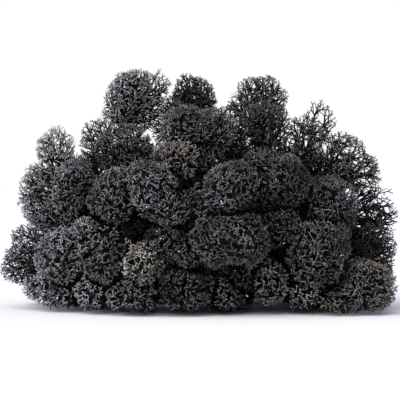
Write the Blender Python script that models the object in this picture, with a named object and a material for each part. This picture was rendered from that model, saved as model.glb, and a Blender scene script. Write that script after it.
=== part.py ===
"""Reindeer moss clump: a heap of dried, dyed reindeer lichen.

Every piece is one tuft: a lichen cushion of one, two or three rounded heads on a common foot.
The feet reach inwards and hold each other in the middle of the heap, the heads face outwards.
Each tuft here is the outer shape of its cushion, a closed solid that stops a little short of
its neighbours. Lengths in this file are millimetres until the last step, which makes metres.
The floor is z = 0 and the front of the heap looks along -Y.
"""

import math

import bmesh
import bpy
import numpy as np
from mathutils import Euler, Vector

MM = 0.001

# Driving dimensions
GAP = 0.34  # clearance between two tufts
EYE_DISTANCE = 1000.0  # the heads are laid out as seen from the front, from here
EYE_TILT = math.radians(1.5)
EYE_TARGET = 53.5  # height that the eye looks at, in the middle of the heap
SIGHT_LINE = 57.0  # that height on the front view's own scale
FOOT_FLATTEN = 2.8  # how deep the lowest heads are pressed flat on the floor
FOOT_SPREAD = 1.3  # what lies this near the floor is pressed onto it
HEAD_POINTS = 80  # corners on each head
LUMP = 0.075  # height of the lumps on a head, as a share of its radius
CROWDED = 1.20  # heads in the thick of the heap are pressed together, and freely would be this much larger
STEM_TOP, STEM_FOOT = 1.00, 1.05  # thickness of a tuft's foot, as shares of its head

# The front of the heap. For each tuft: where its foot ends (x, y, z), then its heads as seen
# from the front: across, up, depth (+ is away), half width, half height, half depth.
FRONT = {
    # along the floor
    "tuft_floor_left": ((-52, 3, 12), [(-69, 11.5, -20, 13, 11, 13), (-80, 14, -13, 7.5, 8, 9)]),
    "tuft_floor_left_middle": ((-40, 3, 14), [(-50, 12, -34, 10.5, 12, 11)]),
    "tuft_floor_middle_left": ((-26, 3, 12), [(-33.5, 10, -43, 12.5, 11, 12)]),
    "tuft_floor_middle": ((-4, 3, 14), [(-8, 13.4, -43, 13.5, 14.2, 13)]),
    "tuft_floor_middle_right": ((10, 3, 16), [(10.5, 13.5, -40, 9.5, 9.6, 10), (20, 10.5, -31, 7, 8.5, 8.5)]),
    "tuft_floor_right_middle": ((28, 3, 18), [(33, 17.5, -38, 11.5, 11.2, 11.5)]),
    "tuft_floor_right": ((46, 3, 14), [(54.5, 13, -34, 12.8, 13, 12)]),
    "tuft_floor_far_right": ((60, 3, 14), [(82, 14.2, -38, 15, 14.8, 14), (69, 7.6, -45, 10.5, 8.4, 9)]),
    # low on the heap
    "tuft_left_low": ((-64, 2, 20), [(-88.2, 26.2, -7, 10.8, 10, 11), (-88, 38.6, -3, 6.6, 5.6, 8)]),
    "tuft_left_belly": ((-48, 3, 28), [(-67, 29.5, -30, 12.2, 12, 12), (-52, 37, -36, 12, 11, 11)]),
    "tuft_low_left_middle": ((-38, 3, 24), [(-47, 25.5, -45, 10, 9.5, 9.5)]),
    "tuft_pale": ((-22, 3, 24), [(-29, 24.8, -54, 7.8, 9.6, 9)]),
    "tuft_low_middle_left": ((-8, 3, 30), [(-17, 35, -46, 9, 9, 9.5), (-5, 30, -48, 8.5, 8.8, 9)]),
    "tuft_front_lobes": ((10, 3, 34), [(7, 37, -54, 10.5, 11, 11), (21.5, 38, -55, 11.2, 11, 11)]),
    "tuft_low_gap": ((20, 3, 24), [(22, 19.5, -40, 8, 8, 8.5)]),
    "tuft_low_right_inner": ((34, 3, 28), [(41, 31.5, -34, 9, 8.5, 9)]),
    "tuft_small_ledge": ((34, 3, 38), [(37.5, 43.2, -46, 10, 8.2, 9.5)]),
    "tuft_right_belly": ((48, 3, 30), [(52.5, 34, -44, 9.5, 10.5, 11), (63, 35.5, -43, 9.2, 11, 11), (57.5, 25, -45, 11, 9.5, 11)]),
    "tuft_right_dark": ((62, 2, 30), [(86.5, 33.5, -22, 10.6, 11, 12), (88.5, 23, -24, 7.5, 8, 9)]),
    # halfway up
    "tuft_left_shoulder": ((-54, 0, 44), [(-76.6, 60.3, -9, 13.9, 17.2, 14), (-61.5, 60, -20, 13, 16.5, 13)]),
    "tuft_left_middle": ((-32, 3, 48), [(-41, 58.5, -37, 11.5, 14, 12)]),
    "tuft_left_gap": ((-30, 3, 38), [(-34, 44, -35, 7.2, 7.4, 8)]),
    "tuft_heart_left": ((-18, 3, 52), [(-24, 63, -42, 12.5, 13, 12)]),
    "tuft_star": ((-10, 3, 46), [(-15.5, 53, -49, 8.8, 8, 8.5), (-4, 55, -43, 7.2, 7.5, 8), (-3.5, 61.5, -30, 9, 9, 10)]),
    "tuft_heart_right": ((10, 3, 50), [(16, 62, -46, 12.5, 12.8, 12), (6, 54, -50, 8, 7, 8)]),
    "tuft_breast": ((30, 3, 54), [(31, 69.8, -36, 10.5, 10.8, 10.5), (42.5, 65, -36, 10.8, 13, 11.5), (33, 58.5, -41, 10.5, 8.5, 9.5)]),
    "tuft_right_middle": ((50, 0, 46), [(63.5, 54.5, -31, 12.6, 12.4, 12.5)]),
    "sprig_right_low": ((64, 2, 46), [(88, 49.5, -8, 9.6, 9.2, 10), (82.5, 60.5, -2, 7, 7.2, 8)]),
    # high on the heap
    "sprig_left_high": ((-69, 2, 58), [(-73.2, 83.4, -4, 9.2, 9.2, 9.5)]),
    "tuft_left_high": ((-44, 2, 66), [(-50, 87, -6, 9.8, 10.2, 11), (-37, 83, -21, 14, 13.2, 12)]),
    "tuft_olive_middle": ((-8, 3, 62), [(-13, 74.5, -34, 12.4, 10.6, 11)]),
    "tuft_dark_middle": ((2, 0, 62), [(3, 75.5, -32, 8, 8, 8.5)]),
    "tuft_high_middle": ((0, 2, 72), [(-7.5, 91, -20, 10.5, 12.8, 12), (7.5, 90, -21, 10.2, 11.2, 12)]),
    "tuft_high_gap": ((16, 2, 68), [(17, 84.5, -18, 7.6, 8.6, 9)]),
    "tuft_high_right": ((32, 2, 74), [(32, 94, -15, 12.6, 12.2, 12)]),
    "tuft_olive_right": ((48, 2, 66), [(54.5, 85, -12, 7.4, 9.8, 9)]),
    "sprig_right_top": ((52, 4, 76), [(60, 97.4, 1, 7.2, 8.7, 8), (49.5, 92, 1, 6.4, 6.8, 7)]),
    "tuft_right_high": ((60, 4, 60), [(69.8, 78.8, -10, 11.2, 11.4, 12), (79, 72, -9, 10, 10.2, 11)]),
    # the crown
    "tuft_crown_left": ((-42, 4, 84), [(-32.5, 110.5, 4, 14.5, 12.3, 12), (-39.5, 101.8, 3, 8.2, 9, 9), (-23.4, 110.3, 3, 8.4, 10, 8.5), (-19.8, 103, 2, 5, 6, 6)]),
    "tuft_crown_middle": ((-4, 6, 82), [(-4.4, 107.7, 3, 11.6, 12, 11.5), (-12.5, 102, -3, 8.5, 8.5, 8.5)]),
    "tuft_crown_right": ((28, 6, 82), [(30.2, 107.5, 5, 11.9, 12.2, 11.5), (21.5, 102.3, 3, 8, 8.4, 9)]),
}

# Tufts whose outline shows against the background: what is seen of them is their free size.
AT_THE_EDGE = {
    "tuft_floor_left",
    "tuft_floor_far_right",
    "tuft_left_low",
    "tuft_right_dark",
    "tuft_left_shoulder",
    "sprig_right_low",
    "sprig_left_high",
    "tuft_left_high",
    "tuft_high_right",
    "sprig_right_top",
    "tuft_right_high",
    "tuft_crown_left",
    "tuft_crown_middle",
    "tuft_crown_right",
}

# The back and the ends, which the front view doesn't show: heads as x, y, z, half width,
# half height, half depth.
BACK = {
    "tuft_back_floor_left": ((-56, 6, 14), [(-74, 22, 13, 13, 13.6, 13), (-77, 8, 14, 8.5, 10, 10)]),
    "tuft_back_floor_left_middle": ((-34, 8, 14), [(-47, 42, 13, 13, 13.6, 13), (-59, 34, 16, 11, 12, 12)]),
    "tuft_back_floor_middle": ((-8, 8, 14), [(-20, 51, 13.5, 13, 14.2, 13), (-33, 47, 17, 11, 12, 11)]),
    "tuft_back_floor_middle_right": ((14, 8, 14), [(8, 52, 14, 13.5, 14.6, 13), (-5, 50, 19, 11, 12, 11)]),
    "tuft_back_floor_right": ((40, 8, 14), [(36, 46, 13, 13.5, 13.8, 13), (22, 49, 18, 11, 12, 11)]),
    "tuft_back_floor_far_right": ((58, 6, 14), [(63, 33, 13.5, 13.5, 14.2, 13), (50, 40, 19, 11, 11.5, 11)]),
    "tuft_end_right": ((62, 2, 16), [(81, 8, 14, 11.5, 13.2, 11.5), (75, 22, 18, 10, 11, 10), (81, -13, 13, 11, 12, 11)]),
    "tuft_back_low_left": ((-56, 4, 38), [(-72, 20, 42, 12.5, 13, 13), (-60, 28, 38, 11.5, 12, 12)]),
    "tuft_back_low_left_middle": ((-30, 6, 40), [(-41, 35, 42, 12.5, 13, 12), (-29, 39, 38, 11, 12, 11)]),
    "tuft_back_low_middle": ((-4, 6, 42), [(-12, 38, 46, 13, 13, 12), (3, 40, 41, 11, 12, 11)]),
    "tuft_back_low_right": ((28, 6, 40), [(22, 36, 45, 12.5, 13, 12), (35, 33, 40, 11.5, 12, 11)]),
    "tuft_back_low_far_right": ((56, 4, 38), [(54, 26, 44, 12.5, 13, 12), (68, 18, 40, 12.5, 13, 12), (79, 6, 43, 10, 11, 11)]),
    "tuft_back_high_left": ((-46, 4, 62), [(-57, 18, 62.5, 12, 12, 12), (-71, 8, 59, 10, 10, 10)]),
    "tuft_back_high_left_middle": ((-26, 4, 66), [(-34, 25, 68, 12.5, 12.5, 12), (-21, 29, 63, 10, 11, 10)]),
    "tuft_back_high_middle": ((2, 4, 70), [(-5, 25, 73, 12, 12.5, 12), (8, 26, 68, 10.5, 11, 11)]),
    "tuft_back_high_right": ((30, 4, 68), [(29, 24, 70, 12.5, 12.5, 12), (19, 22, 76, 10, 10.5, 10)]),
    "tuft_back_high_far_right": ((54, 4, 62), [(55, 16, 66, 12.5, 12.5, 12), (68, 10, 60, 10.5, 11, 11), (43.5, 10, 75, 8, 8.5, 8)]),
    "tuft_back_crown": ((4, 6, 78), [(14, 12, 90, 9.5, 10, 9.5), (-12.5, 13, 89, 9, 10, 9.5), (0, 14, 88, 11, 10, 9.5)]),
}

# One material for each depth of dye: node names not listed are plain black.
DYES = {
    "black": (0.028, 0.029, 0.032),
    "olive": (0.050, 0.047, 0.034),
    "pale": (0.120, 0.112, 0.090),
}
DYE_OF = {
    "tuft_pale": "pale",
    "tuft_olive_middle": "olive",
    "tuft_olive_right": "olive",
    "tuft_floor_far_right": "olive",
    "tuft_crown_middle": "olive",
    "sprig_left_high": "olive",
}


class Head:
    """One rounded head: an ellipsoid about its centre, and the foot that joins it to the heap."""

    def __init__(self, tuft, centre, half, foot, seed):
        self.tuft = tuft
        self.centre = Vector(centre)
        self.half = Vector(half)
        self.foot = Vector(foot)
        self.seed = seed
        self.radius = (half[0] * half[1] * half[2]) ** (1 / 3)


def seen_from_front(across, up, depth, half_width, half_height, half_depth):
    """Centre and half sizes of a head drawn on the front view, moved out to its depth."""
    eye = Vector((0, -EYE_DISTANCE * math.cos(EYE_TILT), EYE_TARGET + EYE_DISTANCE * math.sin(EYE_TILT)))
    rise = up - SIGHT_LINE
    ray = Vector(
        (
            across,
            EYE_DISTANCE * math.cos(EYE_TILT) + rise * math.sin(EYE_TILT),
            -EYE_DISTANCE * math.sin(EYE_TILT) + rise * math.cos(EYE_TILT),
        )
    )
    t = (depth - eye.y) / ray.y
    return eye + ray * t, (half_width * t, half_depth * t, half_height * t)


def all_heads():
    heads = []
    for name, (foot, lobes) in FRONT.items():
        for lobe in lobes:
            centre, half = seen_from_front(*lobe)
            if name not in AT_THE_EDGE:
                half = tuple(CROWDED * size for size in half)
            heads.append(Head(name, centre, half, foot, len(heads)))
    for name, (foot, lobes) in BACK.items():
        for x, y, z, half_width, half_height, half_depth in lobes:
            half = tuple(CROWDED * size for size in (half_width, half_depth, half_height))
            heads.append(Head(name, (x, y, z), half, foot, len(heads)))
    for head in heads:
        # The lowest heads carry the heap, so the floor presses them flat.
        if head.centre.z - head.half.z < 2.0:
            head.centre.z = head.half.z - FOOT_FLATTEN
    return heads


def sphere_directions(count, seed):
    """Evenly spread directions, turned so that no two heads share their facets."""
    turn = Euler((seed * 1.7, seed * 2.3, seed * 0.9)).to_matrix()
    golden = math.pi * (3 - math.sqrt(5))
    found = []
    for i in range(count):
        z = 1 - 2 * (i + 0.5) / count
        r = math.sqrt(1 - z * z)
        found.append(turn @ Vector((r * math.cos(golden * i), r * math.sin(golden * i), z)))
    return found


def lump_waves(seed):
    rng = np.random.default_rng(700 + seed)
    return [(Vector(rng.normal(size=3)).normalized(), rng.uniform(2.2, 4.2), rng.uniform(0, 6.28)) for _ in range(4)]


def dividing_plane(a, b):
    """Direction from head a to head b, and how far from a's centre the plane between them lies."""
    apart = b.centre - a.centre
    distance = apart.length
    toward = apart / distance

    def reach(head):
        return 1 / math.sqrt(sum((toward[k] / head.half[k]) ** 2 for k in range(3)))

    ra, rb = reach(a), reach(b)
    share = 0.5 + (ra * ra - rb * rb) / (2 * distance * distance)
    return toward, distance * min(0.72, max(0.28, share))


def head_radius(head, direction, waves, planes):
    """How far the surface of a head lies from its centre, that way."""
    reach = 1 / math.sqrt(sum((direction[k] / head.half[k]) ** 2 for k in range(3)))
    lump = sum(math.cos(f * direction.dot(v) + p) for v, f, p in waves) / len(waves)
    reach *= 1 + LUMP * lump * 2
    slim = min(head.half)
    along = head.foot - head.centre
    for i in range(9):
        s = i / 8
        middle = along * s
        radius = slim * (STEM_TOP + (STEM_FOOT - STEM_TOP) * s)
        b = direction.dot(middle)
        inside = b * b - middle.length_squared + radius * radius
        if inside >= 0:
            reach = max(reach, b + math.sqrt(inside))
    for toward, limit in planes:
        slope = direction.dot(toward)
        if slope > 1e-6:
            reach = min(reach, limit / slope)
    if direction.z < -1e-6:
        reach = min(reach, head.centre.z / -direction.z)
    return reach


def head_mesh(head, heads):
    """A closed bmesh of one head, in millimetres."""
    planes = []
    for other in heads:
        if other.tuft != head.tuft:
            toward, limit = dividing_plane(head, other)
            planes.append((toward, limit - GAP / 2))
    waves = lump_waves(head.seed)
    bm = bmesh.new()
    directions = sphere_directions(HEAD_POINTS, head.seed)
    for direction in directions:
        bm.verts.new(direction)
    made = bmesh.ops.convex_hull(bm, input=bm.verts)
    loose = [g for g in made["geom_interior"] if isinstance(g, bmesh.types.BMVert)]
    bmesh.ops.delete(bm, geom=loose, context="VERTS")
    bmesh.ops.recalc_face_normals(bm, faces=bm.faces)
    for vert in bm.verts:
        direction = vert.co.normalized()
        vert.co = head.centre + direction * head_radius(head, direction, waves, planes)
        if vert.co.z < FOOT_SPREAD:
            pressed = Vector((vert.co.x, vert.co.y, 0.0))
            if vert.co.z < 0.01 or all((pressed - head.centre).dot(toward) < limit for toward, limit in planes):
                vert.co = pressed
    return bm


def dye_material(kind):
    name = "moss_" + kind
    if name in bpy.data.materials:
        return bpy.data.materials[name]
    material = bpy.data.materials.new(name)
    material.use_nodes = True
    shader = material.node_tree.nodes["Principled BSDF"]
    shader.inputs["Base Color"].default_value = (*DYES[kind], 1)
    shader.inputs["Roughness"].default_value = 0.8
    shader.inputs["Metallic"].default_value = 0.0
    material.diffuse_color = (*DYES[kind], 1)
    return material


def new_object(name, bm, shift):
    bmesh.ops.translate(bm, verts=bm.verts, vec=shift)
    bmesh.ops.scale(bm, verts=bm.verts, vec=(MM, MM, MM))
    mesh = bpy.data.meshes.new(name)
    bm.to_mesh(mesh)
    bm.free()
    mesh.shade_smooth()
    obj = bpy.data.objects.new(name, mesh)
    bpy.context.scene.collection.objects.link(obj)
    return obj


def main():
    for obj in list(bpy.data.objects):
        bpy.data.objects.remove(obj)
    heads = all_heads()
    meshes = [(head, head_mesh(head, heads)) for head in heads]

    # The origin is the middle of the heap's box, on the floor.
    low = [min(v.co[k] for _, bm in meshes for v in bm.verts) for k in range(2)]
    high = [max(v.co[k] for _, bm in meshes for v in bm.verts) for k in range(2)]
    shift = Vector((-(low[0] + high[0]) / 2, -(low[1] + high[1]) / 2, 0))
    print("origin moved by", [round(value, 2) for value in shift])

    tufts = {}
    for head, bm in meshes:
        if head.tuft not in tufts:
            tufts[head.tuft] = new_object(head.tuft, bm, shift)
            tufts[head.tuft].data.materials.append(dye_material(DYE_OF.get(head.tuft, "black")))
            continue
        lobe = new_object(head.tuft + "_lobe", bm, shift)
        lobe.hide_render = True
        lobe.display_type = "WIRE"
        join = tufts[head.tuft].modifiers.new("join_" + lobe.name[-3:], "BOOLEAN")
        join.operation = "UNION"
        join.solver = "EXACT"
        join.object = lobe


main()
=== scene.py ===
"""Reindeer moss clump: the looks.

Every tuft of the heap is grown here as what it is: a lichen cushion, one closed skin round a
tree of forked branches. The branch ends lie on the tuft's outer shape, which the frame gives,
and each tree is rooted at the tuft's foot, inside the heap. Lengths are millimetres until a
mesh is written, which makes metres.
"""
import math
import time

import bpy
import numpy as np
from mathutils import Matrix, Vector
from mathutils.bvhtree import BVHTree


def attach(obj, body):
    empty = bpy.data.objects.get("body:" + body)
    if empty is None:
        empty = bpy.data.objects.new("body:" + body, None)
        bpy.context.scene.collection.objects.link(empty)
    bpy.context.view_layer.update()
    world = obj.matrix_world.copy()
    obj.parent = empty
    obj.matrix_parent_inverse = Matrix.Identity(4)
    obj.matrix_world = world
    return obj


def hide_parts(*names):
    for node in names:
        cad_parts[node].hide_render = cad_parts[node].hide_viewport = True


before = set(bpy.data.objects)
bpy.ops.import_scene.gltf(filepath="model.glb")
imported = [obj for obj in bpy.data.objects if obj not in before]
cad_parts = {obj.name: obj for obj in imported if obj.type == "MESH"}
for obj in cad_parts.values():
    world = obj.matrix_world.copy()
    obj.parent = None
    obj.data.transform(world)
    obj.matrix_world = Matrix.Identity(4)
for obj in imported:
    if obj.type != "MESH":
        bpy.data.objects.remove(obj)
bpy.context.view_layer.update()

MM = 0.001
EYE_TILT = math.radians(1.5)  # the camera looks down by this much
EYE_DISTANCE = 1.0
shift = np.array([0.82, 0.29, 0.0])  # the heap's box is centred on the origin, its layout is this far off
started = time.time()

# ---------------------------------------------------------------------------------------------
# Driving dimensions
# ---------------------------------------------------------------------------------------------
TIP_SPACING = 0.90  # between neighbouring branch ends where the air and light reach
BACK_SPACING = 1.50  # the same on the sides that face away
SHADED_SPACING = 3.7  # and where one tuft presses on another
INNER_SPACING = 2.4  # between the ends inside a tuft
INNER_DEPTH = 2.6  # and how far inside they begin
BURIED_SPACING = 4.2  # the same in the thick of the heap
BURIED = (6.0, 15.0)  # how far inside the heap that begins, and is reached
INNER_WEIGHT = 1.6  # a branch end inside a tuft counts for so many
BLUNT = 0.30  # share of the branch ends that are blunt
TIP_RADIUS = 0.135  # of a blunt branch at its very end
TWIG_RADIUS = 0.165  # of a branch that carries one end, at its start
THICKEN = 0.15  # a branch that carries n ends is n ** THICKEN times as thick
STOUT = 0.85  # branches deep inside a tuft are stouter by this share
RISE_DEPTH = 4.4  # the branches are dark from this far below the outer shape inwards, partly their own colour and partly painted shade inside the tuft
STOUT_DEPTH = 5.0  # and this far below its outer shape they reach it
BURIED_STOUT = 2.4  # in the thick of the heap they are stouter by this share again
CORNER = 1.17  # a three-sided branch looks as thick as a round one if its corners stand out by this
FORK_ANGLE = 39.0  # degrees from a branch to the ends it carries
STAR_ANGLE = 60.0  # the same at the last fork, where the ends spread like a star
FUZZ = 0.40  # how unevenly the ends reach the surface
LOBES = ((11.0, 2.8), (4.8, 1.0))  # a tuft's surface swells into lobes this far apart and this high
LOBE_LIGHT_AND_SHADE = 0.42  # painted light and shade: the tops of the lobes are painted lighter by this share, the clefts between them painted darker
SPRAY_TONE = 0.17  # how much lighter or darker than its tuft a small spray may be

# Where each tuft's foot ends, inside the heap.
FOOT = {
    "tuft_floor_left": (-52, 3, 12), "tuft_floor_left_middle": (-40, 3, 14), "tuft_floor_middle_left": (-26, 3, 12),
    "tuft_floor_middle": (-4, 3, 14), "tuft_floor_middle_right": (10, 3, 16), "tuft_floor_right_middle": (28, 3, 18),
    "tuft_floor_right": (46, 3, 14), "tuft_floor_far_right": (60, 3, 14),
    "tuft_left_low": (-64, 2, 20), "tuft_left_belly": (-48, 3, 28), "tuft_low_left_middle": (-38, 3, 24),
    "tuft_pale": (-22, 3, 24), "tuft_low_middle_left": (-8, 3, 30), "tuft_front_lobes": (10, 3, 34),
    "tuft_low_gap": (20, 3, 24), "tuft_low_right_inner": (34, 3, 28), "tuft_small_ledge": (34, 3, 38),
    "tuft_right_belly": (48, 3, 30), "tuft_right_dark": (62, 2, 30),
    "tuft_left_shoulder": (-54, 0, 44), "tuft_left_middle": (-32, 3, 48), "tuft_left_gap": (-30, 3, 38),
    "tuft_heart_left": (-18, 3, 52), "tuft_star": (-10, 3, 46), "tuft_heart_right": (10, 3, 50),
    "tuft_breast": (30, 3, 54), "tuft_right_middle": (50, 0, 46), "sprig_right_low": (64, 2, 46),
    "sprig_left_high": (-69, 2, 58), "tuft_left_high": (-44, 2, 66), "tuft_olive_middle": (-8, 3, 62),
    "tuft_dark_middle": (2, 0, 62), "tuft_high_middle": (0, 2, 72), "tuft_high_gap": (16, 2, 68),
    "tuft_high_right": (32, 2, 74), "tuft_olive_right": (48, 2, 66), "sprig_right_top": (52, 4, 76),
    "tuft_right_high": (60, 4, 60),
    "tuft_crown_left": (-42, 4, 84), "tuft_crown_middle": (-4, 6, 82), "tuft_crown_right": (28, 6, 82),
    "tuft_back_floor_left": (-56, 6, 14), "tuft_back_floor_left_middle": (-34, 8, 14),
    "tuft_back_floor_middle": (-8, 8, 14), "tuft_back_floor_middle_right": (14, 8, 14),
    "tuft_back_floor_right": (40, 8, 14), "tuft_back_floor_far_right": (58, 6, 14), "tuft_end_right": (62, 2, 16),
    "tuft_back_low_left": (-56, 4, 38), "tuft_back_low_left_middle": (-30, 6, 40), "tuft_back_low_middle": (-4, 6, 42),
    "tuft_back_low_right": (28, 6, 40), "tuft_back_low_far_right": (56, 4, 38),
    "tuft_back_high_left": (-46, 4, 62), "tuft_back_high_left_middle": (-26, 4, 66), "tuft_back_high_middle": (2, 4, 70),
    "tuft_back_high_right": (30, 4, 68), "tuft_back_high_far_right": (54, 4, 62), "tuft_back_crown": (4, 6, 78),
}

# Tufts that grew more openly, or less: how much wider their ends are spaced, and the share of
# their small sprays that is missing.
OPEN = {
    "sprig_right_top": (1.30, 0.22),
    "sprig_right_low": (1.20, 0.14),
    "sprig_left_high": (0.94, 0.0),
    "tuft_right_high": (1.0, 0.04),
    "tuft_left_low": (0.86, 0.0),
    "tuft_crown_left": (0.92, 0.0),
    "tuft_crown_middle": (0.88, 0.0),
    "tuft_right_dark": (0.90, 0.0),
}

# Places seen from the front made lighter or darker, partly uneven dye and partly painted light and shade: across, up,
# radius, and how light it is.
DYE_AND_SHADE_SPOTS = [
    (-27.5, 42, 9, 0.16), (-7.5, 62, 5, 0.30), (-7.5, 42, 6, 0.36), (25, 52, 8, 0.16), (8, 50, 5, 0.36),
    (37.5, 34.5, 8, 0.26), (75, 37, 10, 0.20), (17.5, 79.5, 6, 0.16), (55, 71, 8, 0.21), (-55, 60, 8, 0.36),
    (-53, 76, 8, 0.26), (22, 10, 8, 0.28), (-18, 14, 5, 0.24), (65, 14, 4, 0.32), (3, 20, 5, 0.42), (47, 52, 5, 0.36),
    (14, 37, 3, 0.36), (-47, 46, 5, 0.52), (-30, 76, 6, 0.42), (24, 92, 5, 0.48), (-36, 15, 4, 0.42), (44, 22, 5, 0.48),
    (-21, 26, 4.5, 0.42), (-30, 17.5, 4, 0.62), (-62, 62, 7, 0.58), (30, 54, 5, 0.22), (38, 53, 5, 0.22),
    (-4, 58, 5, 0.22), (-5, 76, 4, 0.48), (-19, 80, 5, 0.50), (-24, 77, 4, 0.50), (4, 99, 9, 0.50), (-9, 101, 6, 0.48),
    (-16, 55.5, 4, 1.50), (-11.5, 75.5, 5, 1.20), (-78, 61, 12, 1.22), (-66, 29, 9, 1.10), (-37, 66, 5, 1.12),
    (9, 66, 6, 1.10), (20, 41, 5, 1.20), (54, 11, 6, 1.15), (-86, 48, 5, 1.80),
]

# Tufts that are finer and closer inside than most: the share of the usual spacing there.
CLOSE = {
    "sprig_left_high": 0.74, "tuft_crown_left": 0.68, "tuft_crown_middle": 0.62, "tuft_crown_right": 0.78,
    "tuft_left_low": 0.70, "tuft_right_dark": 0.62, "tuft_left_high": 0.84, "sprig_right_low": 0.78,
    "tuft_left_shoulder": 0.88, "tuft_right_high": 0.86, "tuft_high_right": 0.84, "tuft_high_gap": 0.80,
    "tuft_pale": 0.80, "tuft_heart_right": 0.9,
}

# Small loose sprays that stand out from a tuft: where, how wide, and how many ends.
SPRAYS = {
    "tuft_crown_left": [
        ((-22.5, 2, 95), 3.2, 30), ((-20.5, 2, 91), 2.6, 18), ((-26.5, 3, 98), 2.6, 18), ((-19.5, 2, 105), 3.6, 36),
        ((-21, 2, 118.5), 2.2, 12), ((-26, 2, 93), 3.2, 32), ((-23.5, 2, 89.5), 2.4, 18),
        ((-22, 1, 91.5), 2.6, 24), ((-27, 1, 90), 2.6, 24), ((-35, 3, 102), 9.0, 200), ((-33.5, 3, 109.5), 3.0, 24),
    ],
    "tuft_crown_middle": [((-19.5, 2, 98), 2.8, 18), ((-21, 2, 88.5), 1.8, 8), ((-4, 6, 104), 8.0, 150),
        ((-15.5, 3, 104), 3.5, 36)],
    "sprig_left_high": [((-73, 2, 73), 6.5, 90), ((-69, 2, 70), 3.5, 30)],
    "sprig_right_top": [((53, 1, 97), 3.2, 24), ((63, -1, 88), 1.8, 8), ((61, 0, 85), 3.4, 34),
        ((47, 2, 92), 4.5, 44)],
    "tuft_right_high": [((62.5, -4, 84.5), 3.6, 40), ((67.5, -4, 81), 3.2, 28), ((72, -3, 77), 3.2, 28),
        ((87, -2, 74), 2.6, 14)],
    "tuft_pale": [((-21, -55, 35.5), 2.6, 14), ((-25, -55, 14.5), 3.4, 24), ((-35, -55, 36), 2.4, 12)],
    "tuft_back_low_far_right": [((86, 6, 34), 8.0, 100)],
    "tuft_back_low_right": [((40.5, 10, 57), 6.5, 60)],
    "sprig_right_low": [((80, -4, 58), 4.0, 30), ((93.5, -4, 58), 2.6, 14), ((95, -6, 47), 2.6, 14),
        ((91, -6, 48), 3.0, 22), ((86, -5, 57), 3.0, 18)],
    "tuft_floor_far_right": [((96, -12, 16.5), 2.0, 9)],
    "tuft_back_low_left_middle": [((-21.5, 14, 46), 7.5, 90), ((-19, 12, 42), 6.0, 50)],
    "tuft_back_high_left": [((-43, 12, 63), 7.0, 70)],
    "tuft_low_left_middle": [((-33.5, -22, 27), 7.0, 70)],
    "tuft_back_high_right": [((16.5, 8, 65), 7.0, 70), ((11.5, 8, 81), 6.0, 50)],
    "tuft_back_low_middle": [((9.5, 12, 47), 6.5, 60), ((-16, 16, 54), 6.0, 50)],
    "tuft_back_high_left_middle": [((-20.5, 6, 82), 5.0, 40)],
    "tuft_floor_middle_right": [((25.5, -20, 10), 5.0, 40)],
    "tuft_low_middle_left": [((-23, -20, 25), 5.0, 40), ((-19.5, -58, 27), 3.6, 30), ((-21, -58, 20), 2.6, 14)],
}

# Places seen from the front where tufts have no ends: across, up, radius.
CLEARINGS = {
    "tuft_right_high": [(78, 80.5, 2.5), (81, 74.5, 1.9), (84, 69.5, 1.3), (74, 62.5, 2.0)],
    "tuft_right_middle": [(74, 62.5, 2.2)],
    "sprig_right_low": [(74, 62.5, 2.0), (79, 49.5, 1.6), (87, 56, 1.4)],
    "tuft_back_high_far_right": [(74, 62.5, 2.6)],
    "tuft_crown_left": [(-22, 114, 1.5), (-26.8, 113.2, 1.0), (-18, 111, 1.5), (-16.8, 106.5, 0.8), (-29, 101, 1.0)],
    "tuft_floor_left": [(-79, 14.5, 1.8), (-77.5, 18, 1.4), (-83, 9, 1.2)],
    "tuft_back_floor_left": [(-79, 14.5, 2.2), (-77.5, 18, 1.8), (-83, 9, 1.6)],
}

# How light each tuft is made: partly how much dye it took, partly painted light and shade, tufts that the lamps leave
# in shade, such as those on the floor, made lighter and well-lit ones darker.
TUFT_DYE_AND_LIGHT_LEVEL = {
    "sprig_left_high": 1.70, "tuft_crown_left": 1.75, "tuft_left_shoulder": 1.50, "tuft_olive_middle": 1.62,
    "tuft_high_middle": 1.38, "tuft_heart_left": 1.82, "tuft_left_middle": 1.70, "tuft_left_belly": 2.00,
    "tuft_floor_left": 2.90, "tuft_floor_left_middle": 2.60, "tuft_floor_far_right": 1.24, "tuft_floor_right": 2.90,
    "tuft_floor_right_middle": 2.40, "tuft_right_dark": 0.44, "tuft_breast": 0.85, "tuft_floor_middle": 1.05,
    "tuft_dark_middle": 0.55, "tuft_crown_middle": 0.42, "tuft_high_right": 0.60, "tuft_olive_right": 0.76,
    "tuft_crown_right": 0.68, "sprig_right_low": 0.46, "tuft_low_middle_left": 1.10, "tuft_floor_middle_left": 1.84,
    "tuft_star": 1.65, "tuft_heart_right": 1.33, "tuft_right_middle": 1.00, "tuft_front_lobes": 1.20,
    "tuft_right_high": 1.22, "tuft_left_low": 1.04, "tuft_floor_middle_right": 1.90, "tuft_left_high": 0.92,
    "tuft_right_belly": 1.33, "tuft_left_gap": 0.40, "tuft_pale": 1.10, "sprig_right_top": 0.65, "tuft_high_gap": 0.98,
}


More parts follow.
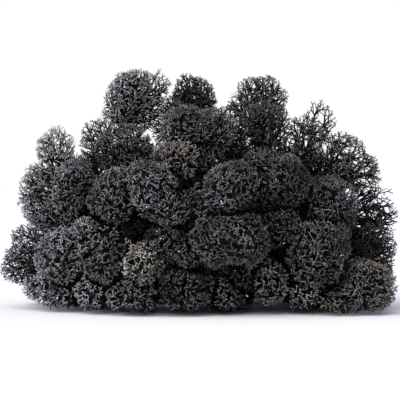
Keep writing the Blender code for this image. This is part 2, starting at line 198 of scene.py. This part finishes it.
# ---------------------------------------------------------------------------------------------
# The tufts' outer shapes, and how open to the air each spot of them is
# ---------------------------------------------------------------------------------------------
class Cushion:
    """A tuft's outer shape as triangles in millimetres."""

    def __init__(self, name, ob):
        me = ob.data
        v = np.empty(len(me.vertices) * 3, np.float32)
        me.vertices.foreach_get("co", v)
        v = v.reshape(-1, 3).astype(float)
        world = np.array(ob.matrix_world)
        v = (v @ world[:3, :3].T + world[:3, 3]) / MM
        me.calc_loop_triangles()
        t = np.empty(len(me.loop_triangles) * 3, np.int32)
        me.loop_triangles.foreach_get("vertices", t)
        t = t.reshape(-1, 3)
        # corners that are kept apart for shading are one corner here
        key, back = np.unique(np.round(v, 3), axis=0, return_inverse=True)
        t = back.reshape(-1)[t]
        keep = (t[:, 0] != t[:, 1]) & (t[:, 1] != t[:, 2]) & (t[:, 2] != t[:, 0])
        self.name, self.v, self.t = name, key, t[keep]
        a, b, c = (self.v[self.t[:, k]] for k in range(3))
        cross = np.cross(b - a, c - a)
        self.area = np.linalg.norm(cross, axis=1) / 2
        ok = self.area > 1e-5
        self.t, self.area, cross = self.t[ok], self.area[ok], cross[ok]
        self.normal = cross / (2 * self.area[:, None])
        self.centre = (self.v[self.t[:, 0]] + self.v[self.t[:, 1]] + self.v[self.t[:, 2]]) / 3
        self.tree = BVHTree.FromPolygons(self.v.tolist(), self.t.tolist())

    def depth(self, points):
        """How far points lie below the outer shape, 0 outside it, and how open the nearest
        spot of the outer shape is."""
        deep, face = np.zeros(len(points)), np.zeros(len(points), int)
        for i, p in enumerate(points.tolist()):
            near, normal, face[i], far = self.tree.find_nearest(p)
            if (Vector(p) - near).dot(normal) < 0:
                deep[i] = far
        return deep, self.open_face[face]


def fan(count):
    """Directions spread over the half sphere about +Z, closer together near +Z."""
    k = np.arange(count) + 0.5
    r = np.sqrt(k / count)
    a = k * math.pi * (3 - math.sqrt(5))
    return np.stack([r * np.cos(a), r * np.sin(a), np.sqrt(1 - r * r)], 1)


def basis(n):
    """Two unit vectors square to each row of n."""
    ref = np.where(np.abs(n[:, 2:3]) < 0.9, np.array([[0.0, 0, 1]]), np.array([[1.0, 0, 0]]))
    u = np.cross(ref, n)
    u /= np.linalg.norm(u, axis=1)[:, None]
    return u, np.cross(n, u)


def whole_heap(cushions):
    verts, tris, at = [], [], 0
    for c in cushions:
        verts.append(c.v)
        tris.append(c.t + at)
        at += len(c.v)
    return BVHTree.FromPolygons(np.concatenate(verts).tolist(), np.concatenate(tris).tolist())


class Burial:
    """How far inside the heap a place lies, by the shortest way out that isn't the floor."""

    def __init__(self, cushions, tree, cell=6.0, reach=260.0):
        self.cell = cell
        self.low = np.min([c.v.min(0) for c in cushions], axis=0) - cell
        high = np.max([c.v.max(0) for c in cushions], axis=0) + 2 * cell
        count = np.ceil((high - self.low) / cell).astype(int) + 1
        self.value = np.full(count, reach)
        spots = [self.low + cell * np.array(i) for i in np.ndindex(*count)]
        ways = [(x, y, z) for x in (-1, 0, 1) for y in (-1, 0, 1) for z in (0, 1) if (x, y, z) != (0, 0, 0)]
        flat = self.value.reshape(-1)
        for way in ways:
            d = Vector(way).normalized()
            for i, p in enumerate(spots):
                hit = tree.ray_cast(Vector(p) + d * reach, -d, reach)[3]
                out = 0.0 if hit is None else reach - hit
                if out < flat[i]:
                    flat[i] = out

    def __call__(self, points):
        f = (points - self.low) / self.cell
        f = np.clip(f, 0, np.array(self.value.shape) - 1.001)
        i = f.astype(int)
        f = f - i
        total = 0
        for a in (0, 1):
            for b in (0, 1):
                for c in (0, 1):
                    w = np.abs(1 - a - f[:, 0]) * np.abs(1 - b - f[:, 1]) * np.abs(1 - c - f[:, 2])
                    total = total + w * self.value[i[:, 0] + a, i[:, 1] + b, i[:, 2] + c]
        return total

    def share(self, points):
        """0 near the outside of the heap, 1 in the thick of it."""
        s = np.clip((self(points) - BURIED[0]) / (BURIED[1] - BURIED[0]), 0, 1)
        return s * s * (3 - 2 * s)


def openness(cushions, tree, reach=26.0, rays=15):
    """For each corner of each cushion, how far one sees from there on average, 0 to 1."""
    local = fan(rays)
    cast = tree.ray_cast
    for c in cushions:
        u, w = basis(c.normal)
        start = c.centre + 0.08 * c.normal
        seen = np.zeros(len(c.t))
        for x, y, z in local:
            way = x * u + y * w + z * c.normal
            for i, (p, d) in enumerate(zip(start.tolist(), way.tolist())):
                hit = cast(p, d, reach)[3]
                far = reach if hit is None else hit
                if d[2] < -1e-3:  # the floor
                    far = min(far, max(p[2], 0) / -d[2])
                seen[i] += far
        c.open_face = seen / (rays * reach)
        total = np.zeros(len(c.v))
        weight = np.zeros(len(c.v))
        for k in range(3):
            np.add.at(total, c.t[:, k], c.open_face * c.area)
            np.add.at(weight, c.t[:, k], c.area)
        c.open = total / np.maximum(weight, 1e-9)


# ---------------------------------------------------------------------------------------------
# Branch ends
# ---------------------------------------------------------------------------------------------
def spaced(points, spacing, order):
    """Picks points in that order that keep their own spacing from those already picked."""
    cell = float(spacing.max())
    grid, picked = {}, []
    keys = np.floor(points / cell).astype(int).tolist()
    pts = points.tolist()
    near = [(i, j, k) for i in (-1, 0, 1) for j in (-1, 0, 1) for k in (-1, 0, 1)]
    sq = (spacing**2).tolist()
    for i in order.tolist():
        kx, ky, kz = keys[i]
        x, y, z = pts[i]
        s = sq[i]
        free = True
        for a, b, c in near:
            for px, py, pz in grid.get((kx + a, ky + b, kz + c), ()):
                if (px - x) ** 2 + (py - y) ** 2 + (pz - z) ** 2 < s:
                    free = False
                    break
            if not free:
                break
        if free:
            grid.setdefault((kx, ky, kz), []).append((x, y, z))
            picked.append(i)
    return np.array(picked, int)


def swell(points, spacing, height, rng):
    """How far lobes of that spacing and height lift each point of a surface."""
    tops = spaced(points, np.full(len(points), spacing * 0.8), rng.permutation(len(points)))
    high = height * rng.uniform(0.5, 1.2, len(tops))
    away = np.full(len(points), 1e9)
    lift = np.zeros(len(points))
    for k, top in enumerate(points[tops]):
        d = ((points - top) ** 2).sum(1)
        near = d < away
        away[near] = d[near]
        lift[near] = high[k]
    return lift * (0.60 - 1.9 * np.clip(away / spacing**2, 0, 1) ** 0.9)


def branch_ends(c, foot, burial, rng):
    """Where a tuft's branches end: over its outer shape, and some below it."""
    wider, _ = OPEN.get(c.name, (1.0, 0.0))
    aim = TIP_SPACING * wider
    # candidates spread evenly over the surface
    count = int(c.area.sum() / (0.16 * aim * aim))
    tri = rng.choice(len(c.t), count, p=c.area / c.area.sum())
    s, t = np.sqrt(rng.random(count)), rng.random(count)
    w = np.stack([1 - s, s * (1 - t), s * t], 1)
    at = np.einsum("ij,ijk->ik", w, c.v[c.t[tri]])
    light = np.einsum("ij,ij->i", w, c.open[c.t[tri]])
    light = 0.5 * light + 0.5 * c.open_face[tri]
    normal = c.normal[tri]
    # nothing ends at the foot itself
    size = np.linalg.norm(c.v - foot, axis=1).max()
    clear = np.linalg.norm(at - foot, axis=1) > 0.30 * size
    at, light, normal = at[clear], light[clear], normal[clear]
    shade = np.clip((0.50 - light) / 0.44, 0, 1)
    away = np.clip((normal[:, 1] - 0.05) / 0.5, 0, 1)
    spacing = aim + (BACK_SPACING - TIP_SPACING) * away
    spacing = spacing + (SHADED_SPACING - spacing) * shade**1.3
    picked = spaced(at, 0.86 * spacing, rng.permutation(len(at)))
    at, normal, shade, light = at[picked], normal[picked], shade[picked], light[picked]
    # ends reach the surface unevenly, draw back at a crevice, and reach into the next tuft
    # where the two are pressed together
    lift = sum(swell(at, spacing, height, rng) for spacing, height in LOBES)
    out = rng.normal(0, FUZZ, len(at)) + lift * (1 - shade)
    out += 1.0 * shade**2 - 9.0 * shade * (1 - shade)
    # painted highlight on the tops of the lobes, painted shade in the clefts between them
    dye_and_shade_tone = 1 + LOBE_LIGHT_AND_SHADE * np.clip(lift / 1.2, -1, 1)
    at = at + normal * out[:, None]
    inner = inner_ends(c, burial, rng)
    extra = loose_ends(c, rng)
    inner = np.concatenate([inner, extra])
    blunt = np.concatenate([rng.random(len(at)) < BLUNT * (1 - 2.2 * shade), burial.share(inner) > 0.6])
    weight = np.concatenate([np.ones(len(at)), np.full(len(inner), INNER_WEIGHT)])
    weight[len(weight) - len(extra):] = 1.0
    blunt[len(weight) - len(extra):] = rng.random(len(extra)) < 0.5
    # the ends inside a tuft are made darker: painted shade
    dye_and_shade_tone = np.concatenate([dye_and_shade_tone, np.full(len(inner), 0.8)])
    at = np.concatenate([at, inner])
    at[:, 2] = np.maximum(at[:, 2], 0.25 + 0.3 * rng.random(len(at)))
    # a few places have no ends, and one sees through the tuft there
    view = seen(at)
    keep = np.ones(len(at), bool)
    for across, up, radius in CLEARINGS.get(c.name, ()):
        keep &= (view[:, 0] - across) ** 2 + (view[:, 1] - up) ** 2 > radius**2
    # spots of uneven dye and of painted light and shade, seen from the front
    for across, up, radius, tone in DYE_AND_SHADE_SPOTS:
        near = np.exp(-((view[:, 0] - across) ** 2 + (view[:, 1] - up) ** 2) / radius**2)
        dye_and_shade_tone *= 1 + (tone - 1) * near
    return at[keep], weight[keep], blunt[keep], dye_and_shade_tone[keep]


def seen(points):
    """Where points appear on the front view: across and up, in millimetres at the heap's middle."""
    p = points - shift
    eye = np.array([0, -1000 * math.cos(EYE_TILT), 53.5 + 1000 * math.sin(EYE_TILT)])
    ray = p - eye
    along = ray[:, 1] * math.cos(EYE_TILT) - ray[:, 2] * math.sin(EYE_TILT)
    rise = ray[:, 1] * math.sin(EYE_TILT) + ray[:, 2] * math.cos(EYE_TILT)
    return np.stack([1000 * ray[:, 0] / along, 57.0 + 1000 * rise / along], 1)


def loose_ends(c, rng):
    """Ends of the small sprays that stand out from a tuft."""
    found = [np.zeros((0, 3))]
    for (x, y, z), radius, count in SPRAYS.get(c.name, ()):
        way = rng.normal(0, 1, (count * 6, 3))
        way /= np.linalg.norm(way, axis=1)[:, None]
        ball = np.array([x, y, z]) + shift + way * (radius * rng.random(len(way)) ** 0.45)[:, None]
        found.append(ball[spaced(ball, np.full(len(ball), 1.25), np.arange(len(ball)))[:count]])
    return np.concatenate(found)


def inner_ends(c, burial, rng):
    """Ends spread through the inside of a tuft, clear of its surface."""
    volume = float(np.einsum("ij,ij->i", c.v[c.t[:, 0]], np.cross(c.v[c.t[:, 1]], c.v[c.t[:, 2]])).sum() / 6)
    count = int(6 * volume / (INNER_SPACING * CLOSE.get(c.name, 1.0)) ** 3)
    tri = rng.choice(len(c.t), count, p=c.area / c.area.sum())
    s, t = np.sqrt(rng.random(count)), rng.random(count)
    w = np.stack([1 - s, s * (1 - t), s * t], 1)
    at = np.einsum("ij,ijk->ik", w, c.v[c.t[tri]])
    way = -c.normal[tri]
    start = at + 0.02 * way
    across = np.array([c.tree.ray_cast(p, d, 80)[3] or 0.0 for p, d in zip(start.tolist(), way.tolist())])
    depth = INNER_DEPTH + (across - 2 * INNER_DEPTH) * rng.random(count)
    ok = across > 2 * INNER_DEPTH + 0.4
    at = (at + way * depth[:, None])[ok]
    close = INNER_SPACING * CLOSE.get(c.name, 1.0)
    spacing = close + (BURIED_SPACING - close) * burial.share(at)
    picked = spaced(at, spacing, rng.permutation(len(at)))
    return at[picked]


# ---------------------------------------------------------------------------------------------
# The tree of branches
# ---------------------------------------------------------------------------------------------
def split(points, k, rng):
    """Parts points into k groups of neighbours. Large groups grow into each other."""
    n = len(points)
    mixing = 0.30 if n > 150 else 0.15 if n > 30 else 0.05 if n > 7 else 0.0
    if mixing:
        points = points + rng.normal(0, mixing, points.shape) * points.std(0).mean() * 1.7
    first = rng.integers(n)
    centres = [points[first]]
    far = ((points - centres[0]) ** 2).sum(1)
    for _ in range(k):
        centres.append(points[far.argmax()])
        if len(centres) > k:
            break
        far = np.minimum(far, ((points - centres[-1]) ** 2).sum(1))
    centres = np.array(centres[1:])
    for _ in range(3):
        label = ((points[:, None] - centres[None]) ** 2).sum(2).argmin(1)
        new = [points[label == j].mean(0) if (label == j).any() else centres[j] for j in range(k)]
        centres = np.array(new)
    return [np.flatnonzero(label == j) for j in range(k) if (label == j).any()]


def grow(ends, weight, blunt, dye_and_shade_tone, foot, missing, rng):
    """The tree that joins the ends to the foot: places, parents, the weight each carries,
    what it is (0 for a fork, 1 for a blunt end, 2 for a pointed one) and how light it is."""
    ends = ends.copy()
    place, parent, load, kind, tone = [foot], [-1], [weight.sum()], [0], [1.0]
    wide = 1 / math.tan(math.radians(FORK_ANGLE))
    star = 1 / math.tan(math.radians(STAR_ANGLE))
    stack = [(np.arange(len(ends)), 0, False, 0, 1.0)]
    while stack:
        group, below, gathered, level, light = stack.pop()
        n = len(group)
        here = place[below]
        if n == 1:
            place.append(ends[group[0]])
            parent.append(below)
            load.append(weight[group[0]])
            kind.append(1 if blunt[group[0]] else 2)
            tone.append(light)
            continue
        if 5 <= n <= 13 and not gathered:
            # a small spray: its ends draw together and it stands a little higher or lower
            if missing and rng.random() < missing:
                continue
            gathered = True
            # the spray's tone carries its ends' dye and painted light and shade
            light = float(np.clip(rng.normal(1, SPRAY_TONE), 0.5, 1.6) * dye_and_shade_tone[group].mean())
            mid = ends[group].mean(0)
            way = mid - here
            way = way / (np.linalg.norm(way) + 1e-9)
            ends[group] += 0.10 * (mid - ends[group]) + way * rng.normal(-0.1, 0.45)
        if n in (3, 4, 5):
            # the star of branches at the very end
            mid = ends[group].mean(0)
            ends[group] += 0.26 * (mid - ends[group])
        pts = ends[group]
        mid = pts.mean(0)
        way = mid - here
        length = np.linalg.norm(way) + 1e-9
        way /= length
        rel = pts - here
        along = rel @ way
        spread = math.sqrt(max(((rel * rel).sum(1) - along * along).mean(), 0.0))
        back = spread * (star if n <= 4 else wide)
        step = min(max(length - back, 0.30 * length, 0.75), 0.80 * length)
        if level < 2 and n > 40:
            # the stems part near the foot and rise side by side
            step = (0.20 if level else 0.14) * length * rng.uniform(0.7, 1.3)
        fork = here + way * step + rng.normal(0, 0.07, 3) * step
        fork[2] = max(fork[2], 0.5)
        place.append(fork)
        parent.append(below)
        load.append(weight[group].sum())
        kind.append(0)
        tone.append(light)
        me = len(place) - 1
        if n == 2:
            groups = [np.array([0]), np.array([1])]
        elif n == 3:
            if rng.random() < 0.85:
                groups = [np.array([0]), np.array([1]), np.array([2])]
            else:
                groups = split(pts, 2, rng)
        else:
            groups = split(pts, 3 if level < 2 or rng.random() < (0.85 if n < 10 else 0.6) else 2, rng)
        if len(groups) == 1:
            groups = [np.arange(n)[: n // 2], np.arange(n)[n // 2 :]]
        for g in groups:
            stack.append((group[g], me, gathered, level + 1, light))
    return np.array(place), np.array(parent), np.array(load), np.array(kind), np.array(tone)


def tidy(place, parent, load, kind, tone):
    """Takes out forks left with no branch or one, after sprays have gone missing."""
    n = len(place)
    while True:
        kids = np.bincount(parent[1:], minlength=n)
        dead = (kids == 0) & (kind == 0)
        dead[0] = False
        if not dead.any():
            break
        keep = ~dead
        new = np.cumsum(keep) - 1
        parent = np.where(parent >= 0, new[parent], -1)[keep]
        place, load, kind, tone = place[keep], load[keep], kind[keep], tone[keep]
        n = len(place)
    return place, parent, load, kind, tone


def bend(place, parent, load, kind, tone, burial, rng):
    """Long branches that may be seen get a slight bend, or two."""
    length = np.linalg.norm(place - place[np.maximum(parent, 0)], axis=1)
    length[0] = 0
    length[burial.share(place) > 0.4] = 0
    place, parent, load, kind, tone = list(place), list(parent), list(load), list(kind), list(tone)
    for i in np.flatnonzero(length > 3.4):
        if kind[i] == 2 and length[i] < 6:
            continue
        cuts = 1 if length[i] < 7 else 2 if length[i] < 13 else 3
        a, b = place[parent[i]], place[i]
        side = rng.normal(0, 1, 3)
        way = (b - a) / length[i]
        side -= way * (side @ way)
        side /= np.linalg.norm(side) + 1e-9
        sway = 0.055 * length[i] * rng.uniform(0.3, 1.0)
        below = parent[i]
        for k in range(cuts):
            f = (k + 1) / (cuts + 1)
            p = a + (b - a) * f + side * sway * math.sin(math.pi * f)
            p[2] = max(p[2], 0.5)
            place.append(p)
            parent.append(below)
            load.append(load[i])
            kind.append(0)
            tone.append(tone[i])
            below = len(place) - 1
        parent[i] = below
    place, parent, load, kind, tone = (np.array(x) for x in (place, parent, load, kind, tone))
    # parents first
    depth = np.zeros(len(place), int)
    up = parent.copy()
    while (up > 0).any():
        depth += up > 0
        up = np.where(up > 0, parent[np.maximum(up, 0)], up)
    depth += parent >= 0
    depth[0] = 0
    order = np.argsort(depth, kind="stable")
    back = np.empty(len(order), int)
    back[order] = np.arange(len(order))
    parent = np.where(parent[order] >= 0, back[np.maximum(parent[order], 0)], -1)
    return place[order], parent, load[order], kind[order], tone[order]


# ---------------------------------------------------------------------------------------------
# The skin: three-sided branches welded into one closed surface
# ---------------------------------------------------------------------------------------------
def unit(v):
    return v / np.maximum(np.linalg.norm(v, axis=-1, keepdims=True), 1e-9)


def skin(place, parent, load, kind, tone, deep, light, buried):
    """Corners, triangles, and for each corner how near it is to an end (1 there) and its tone, painted shade included.
    """
    n = len(place)
    kids = np.full((n, 3), -1)
    count = np.zeros(n, int)
    for i in range(1, n):
        p = parent[i]
        kids[p, count[p]] = i
        count[p] += 1
    inside = np.clip(deep / STOUT_DEPTH, 0, 1)
    radius = TWIG_RADIUS * load**THICKEN * CORNER * (1 + STOUT * inside) * (1 + BURIED_STOUT * buried)
    radius[kind == 1] = TIP_RADIUS * CORNER * (1 + (1 + BURIED_STOUT) * buried[kind == 1])
    radius[kind == 2] = 0.0
    way = unit(place - place[np.maximum(parent, 0)])
    way[0] = way[kids[0, 0]]
    has = kids >= 0
    ahead = np.where(has[:, :, None], way[np.maximum(kids, 0)], 0.0)
    mean_ahead = unit(ahead.sum(1))
    axis = way.copy()
    axis[count == 1] = unit(way[count == 1] + mean_ahead[count == 1])
    axis[count > 1] = unit(way[count > 1] + 0.55 * mean_ahead[count > 1])
    axis[0] = way[0]
    u, w = basis(axis)
    turn = np.arctan2((ahead * w[:, None]).sum(2), (ahead * u[:, None]).sum(2))
    psi = np.zeros(n)
    third = 2 * math.pi / 3
    three = np.flatnonzero(count == 3)
    if len(three):
        order = np.argsort(turn[three], axis=1)
        kids[three] = np.take_along_axis(kids[three], order, 1)
        t = np.take_along_axis(turn[three], order, 1)
        off = t - third / 2 - third * np.arange(3)
        psi[three] = np.angle(np.exp(1j * off).sum(1))
    two = np.flatnonzero(count == 2)
    if len(two):
        t = turn[two]
        swap = np.mod(t[:, 1] - t[:, 0], 2 * math.pi) > math.pi
        k = kids[two]
        k[swap, 0], k[swap, 1] = k[swap, 1].copy(), k[swap, 0].copy()
        kids[two] = k
        t[swap] = t[swap][:, [1, 0, 2]]
        off = np.stack([t[:, 0] - third / 2, t[:, 1] - 1.5 * third], 1)
        psi[two] = np.angle(np.exp(1j * off).sum(1))
    ang = psi[:, None] + third * np.arange(3)
    ring = place[:, None] + radius[:, None, None] * (
        np.cos(ang)[:, :, None] * u[:, None] + np.sin(ang)[:, :, None] * w[:, None]
    )
    forks = np.flatnonzero(count > 1)
    crotch = place[forks] + axis[forks] * (radius[forks] * 0.95)[:, None]
    crotch_at = np.full(n, -1)
    crotch_at[forks] = 3 * n + np.arange(len(forks))
    verts = np.concatenate([ring.reshape(-1, 3), crotch])
    verts[:, 2] = np.maximum(verts[:, 2], 0.02)
    # each branch runs from a loop of three corners at its start to its own ring
    child = np.arange(1, n)
    p = parent[child]
    sector = np.zeros(n, int)
    for j in range(3):
        k = kids[:, j]
        sector[k[k >= 0]] = j
    s = sector[child]
    start = np.stack([3 * p, 3 * p + 1, 3 * p + 2], 1)
    forked = count[p] > 1
    start[forked] = np.stack([3 * p + s, 3 * p + (s + 1) % 3, crotch_at[p]], 1)[forked]
    a = verts[start]
    a = a - a.mean(1, keepdims=True)
    b = ring[child] - place[child][:, None]
    fit = np.stack([(a * np.roll(b, -k, axis=1)).sum((1, 2)) for k in range(3)], 1)
    best = fit.argmax(1)
    end = 3 * child[:, None] + (np.arange(3)[None] + best[:, None]) % 3
    tube = kind[child] != 2
    tris = []
    for j in range(3):
        q = (j + 1) % 3
        tris.append(np.stack([start[tube, j], start[tube, q], end[tube, q]], 1))
        tris.append(np.stack([start[tube, j], end[tube, q], end[tube, j]], 1))
        point = 3 * child[~tube]
        tris.append(np.stack([start[~tube, j], start[~tube, q], point], 1))
    ends = np.flatnonzero(kind == 1)
    tris.append(np.stack([3 * ends, 3 * ends + 1, 3 * ends + 2], 1))
    tris.append(np.array([[2, 1, 0]]))
    tris.append(np.stack([3 * two + 2, 3 * two, crotch_at[two]], 1))
    tris = np.concatenate(tris)
    # darker deeper below the outer shape and along thicker branches, lighter at the ends: partly the branches' own
    # colour, partly painted shade and light
    rise = (1 - np.clip(deep / RISE_DEPTH, 0, 1)) ** 1.3 / (1 + (load / 6.0) ** 1.5)
    # painted shade: the less open a spot of the tuft's outer shape is, the darker its branches are made, darkest in the
    # crevices
    tone = tone * (0.08 + 0.92 * np.clip((light - 0.255) / 0.38, 0, 1) ** 1.35)
    rise = np.concatenate([np.repeat(rise, 3), rise[forks]])
    tone = np.concatenate([np.repeat(tone, 3), tone[forks]])
    used = np.zeros(len(verts), bool)
    used[tris.ravel()] = True
    return verts[used], (np.cumsum(used) - 1)[tris], rise[used], tone[used]


def write_mesh(name, verts, tris, rise, tone):
    me = bpy.data.meshes.new(name)
    me.vertices.add(len(verts))
    me.vertices.foreach_set("co", (verts * MM).astype(np.float32).ravel())
    me.loops.add(len(tris) * 3)
    me.loops.foreach_set("vertex_index", tris.astype(np.int32).ravel())
    me.polygons.add(len(tris))
    me.polygons.foreach_set("loop_start", np.arange(0, len(tris) * 3, 3, dtype=np.int32))
    me.polygons.foreach_set("use_smooth", np.ones(len(tris), bool))
    me.update(calc_edges=True)
    for key, values in (("rise", rise), ("tone", tone)):
        layer = me.attributes.new(key, "FLOAT", "POINT")
        layer.data.foreach_set("value", values.astype(np.float32))
    ob = bpy.data.objects.new(name, me)
    bpy.context.scene.collection.objects.link(ob)
    return ob


# ---------------------------------------------------------------------------------------------
# Materials
# ---------------------------------------------------------------------------------------------
def linear(r, g, b):
    """A colour given as it looks on screen, 0 to 255."""
    return tuple(((x / 255 + 0.055) / 1.055) ** 2.4 if x > 10 else x / 255 / 12.92 for x in (r, g, b)) + (1.0,)


def lichen(name, low, high, tint, tint_share):
    """Dyed lichen: darker branches and lighter ends, partly their own colour and partly painted shade and light; uneven
    dye; a dull, faintly velvety surface.
    """
    mat = bpy.data.materials.new(name)
    mat.use_nodes = True
    nt = mat.node_tree
    nt.nodes.clear()
    new, link = nt.nodes.new, nt.links.new
    out = new("ShaderNodeOutputMaterial")
    bsdf = new("ShaderNodeBsdfPrincipled")
    link(bsdf.outputs[0], out.inputs[0])
    coord = new("ShaderNodeTexCoord")
    rise = new("ShaderNodeAttribute")
    rise.attribute_name = "rise"
    tone = new("ShaderNodeAttribute")
    tone.attribute_name = "tone"

    def noise(scale, detail, rough=0.55):
        n = new("ShaderNodeTexNoise")
        n.inputs["Scale"].default_value = scale
        n.inputs["Detail"].default_value = detail
        n.inputs["Roughness"].default_value = rough
        link(coord.outputs["Object"], n.inputs["Vector"])
        return n.outputs["Fac"]

    def ranged(value, a, b, c=0.0, d=1.0):
        m = new("ShaderNodeMapRange")
        link(value, m.inputs["Value"])
        for key, x in zip(("From Min", "From Max", "To Min", "To Max"), (a, b, c, d)):
            m.inputs[key].default_value = x
        return m.outputs["Result"]

    def mix(fac, a, b, kind="MIX"):
        m = new("ShaderNodeMix")
        m.data_type = "RGBA"
        m.blend_type = kind
        if isinstance(fac, float):
            m.inputs["Factor"].default_value = fac
        else:
            link(fac, m.inputs["Factor"])
        for socket, x in ((m.inputs[6], a), (m.inputs[7], b)):
            if isinstance(x, tuple):
                socket.default_value = x
            else:
                link(x, socket)
        return m.outputs[2]

    def times(a, b):
        m = new("ShaderNodeMath")
        m.operation = "MULTIPLY"
        link(a, m.inputs[0])
        link(b, m.inputs[1])
        return m.outputs[0]

    light = mix(ranged(noise(70, 3), 0.40, 0.66, 0.0, tint_share), high, tint)
    # dark branches to light ends by the rise attribute: partly own colour, partly painted shade and light
    base = mix(ranged(rise.outputs["Fac"], 0.12, 1.0), low, light)
    speckle = ranged(noise(900, 2), 0.3, 0.7, 0.74, 1.26)
    patch = ranged(noise(120, 2), 0.3, 0.7, 0.78, 1.22)
    level = times(times(speckle, patch), tone.outputs["Fac"])
    grey = new("ShaderNodeCombineColor")
    for i in range(3):
        link(level, grey.inputs[i])
    base = mix(1.0, base, grey.outputs[0], "MULTIPLY")
    link(base, bsdf.inputs["Base Color"])
    link(ranged(noise(700, 2), 0.3, 0.7, 0.50, 0.78), bsdf.inputs["Roughness"])
    bump = new("ShaderNodeBump")
    bump.inputs["Strength"].default_value = 0.35
    bump.inputs["Distance"].default_value = 0.0001
    link(noise(5200, 3), bump.inputs["Height"])
    link(bump.outputs[0], bsdf.inputs["Normal"])
    bsdf.inputs["Specular IOR Level"].default_value = 0.20
    return mat


MATERIALS = {
    "black": lichen("lichen_black", linear(7, 7, 8), linear(94, 92, 94), linear(94, 91, 89), 0.8),
    "olive": lichen("lichen_olive", linear(11, 10, 9), linear(103, 100, 95), linear(100, 94, 82), 0.8),
    "pale": lichen("lichen_pale", linear(48, 46, 42), linear(156, 152, 143), linear(148, 143, 129), 0.8),
    "faded": lichen("lichen_faded", linear(50, 49, 49), linear(120, 118, 119), linear(118, 115, 110), 0.8),
}
LOOK_OF = {"sprig_left_high": "faded"}  # its own look, where that isn't the dye's
DYE_OF = {
    "tuft_pale": "pale",
    "tuft_olive_middle": "olive",
    "tuft_olive_right": "olive",
    "tuft_floor_far_right": "olive",
    "tuft_crown_middle": "olive",
    "sprig_left_high": "olive",
}

# ---------------------------------------------------------------------------------------------
# The clump
# ---------------------------------------------------------------------------------------------
cushions = [Cushion(name, ob) for name, ob in sorted(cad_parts.items())]
heap = whole_heap(cushions)
openness(cushions, heap)
burial = Burial(cushions, heap)
print(f"openness {time.time() - started:.1f} s", flush=True)
total = ends_made = 0
for number, c in enumerate(cushions):
    rng = np.random.default_rng(7000 + number)
    foot = np.array(FOOT[c.name], float) + shift
    ends, weight, blunt, dye_and_shade_tone = branch_ends(c, foot, burial, rng)
    tree = grow(ends, weight, blunt, dye_and_shade_tone, foot, OPEN.get(c.name, (1, 0))[1], rng)
    tree = tidy(*tree)
    tree = bend(*tree, burial, rng)
    verts, tris, rise, tone = skin(*tree, *c.depth(tree[0]), burial.share(tree[0]))
    # each tuft's tone is scaled by its dye and its painted light level
    piece = write_mesh("lichen_" + c.name, verts, tris, rise, tone * TUFT_DYE_AND_LIGHT_LEVEL.get(c.name, rng.uniform(0.9, 1.1)))
    dye = DYE_OF.get(c.name, "black")
    piece.data.materials.append(MATERIALS[LOOK_OF.get(c.name, dye)])
    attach(piece, "root")
    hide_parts(c.name)
    total += len(tris)
    ends_made += len(ends)
    print(f"{c.name:32s} open {np.average(c.open_face, weights=c.area):.2f} area {c.area.sum():6.0f} ends {blunt.sum():5d} + {(~blunt).sum():4d} tris {len(tris):6d}", flush=True)
print(f"{total} triangles, {ends_made} ends, {time.time() - started:.1f} s", flush=True)

# ---------------------------------------------------------------------------------------------
# Floor, light and camera
# ---------------------------------------------------------------------------------------------
floor_mesh = bpy.data.meshes.new("floor")
floor_mesh.from_pydata([(-3, -3, 0), (3, -3, 0), (3, 3, 0), (-3, 3, 0)], [], [(0, 1, 2, 3)])
floor = bpy.data.objects.new("floor", floor_mesh)
bpy.context.scene.collection.objects.link(floor)
paper = bpy.data.materials.new("floor_paper")
paper.use_nodes = True
paper.node_tree.nodes["Principled BSDF"].inputs["Base Color"].default_value = (0.50, 0.50, 0.50, 1)
paper.node_tree.nodes["Principled BSDF"].inputs["Roughness"].default_value = 0.9
paper.node_tree.nodes["Principled BSDF"].inputs["Specular IOR Level"].default_value = 0.0
floor_mesh.materials.append(paper)

scene = bpy.context.scene
scene.view_settings.view_transform = "Standard"
world = scene.world or bpy.data.worlds.new("world")
scene.world = world
world.use_nodes = True
nt = world.node_tree
nt.nodes.clear()
sky_out = nt.nodes.new("ShaderNodeOutputWorld")
sky_mix = nt.nodes.new("ShaderNodeMixShader")
sky_path = nt.nodes.new("ShaderNodeLightPath")
sky_light = nt.nodes.new("ShaderNodeBackground")
sky_light.inputs[0].default_value = (0.80, 0.80, 1.0, 1)
sky_light.inputs[1].default_value = 1.06
sky_wall = nt.nodes.new("ShaderNodeBackground")
sky_wall.inputs[0].default_value = (1, 1, 1, 1)
nt.links.new(sky_path.outputs["Is Camera Ray"], sky_mix.inputs[0])
nt.links.new(sky_light.outputs[0], sky_mix.inputs[1])
nt.links.new(sky_wall.outputs[0], sky_mix.inputs[2])
nt.links.new(sky_mix.outputs[0], sky_out.inputs[0])


def softbox(name, at, aim, spread, strength, colour=(1, 1, 1)):
    """A large soft light so far away that it lights the whole floor alike."""
    data = bpy.data.lights.new(name, "SUN")
    data.angle = math.radians(spread)
    data.energy = strength
    data.color = colour
    ob = bpy.data.objects.new(name, data)
    ob.location = at
    ob.rotation_euler = (Vector(aim) - Vector(at)).to_track_quat("-Z", "Y").to_euler()
    scene.collection.objects.link(ob)
    return ob


softbox("softbox_front", (-0.35, -0.72, 1.0), (0, 0, 0), 60, 3.8, (1.0, 0.965, 0.90))
softbox("softbox_left", (-1.0, -0.30, 0.40), (0, 0, 0), 70, 3.0, (0.82, 0.89, 1.0))

target = Vector((shift[0] * MM - 0.0004, shift[1] * MM, 0.0540))
eye = target + EYE_DISTANCE * Vector((0, -math.cos(EYE_TILT), math.sin(EYE_TILT)))
cam = bpy.data.cameras.new("camera")
cam.sensor_width = 36
cam.lens = 180
cam.clip_start, cam.clip_end = 0.05, 20
camera = bpy.data.objects.new("camera", cam)
camera.location = eye
camera.rotation_euler = (target - eye).to_track_quat("-Z", "Y").to_euler()
scene.collection.objects.link(camera)
scene.camera = camera

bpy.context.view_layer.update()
print(f"scene made in {time.time() - started:.1f} s", flush=True)
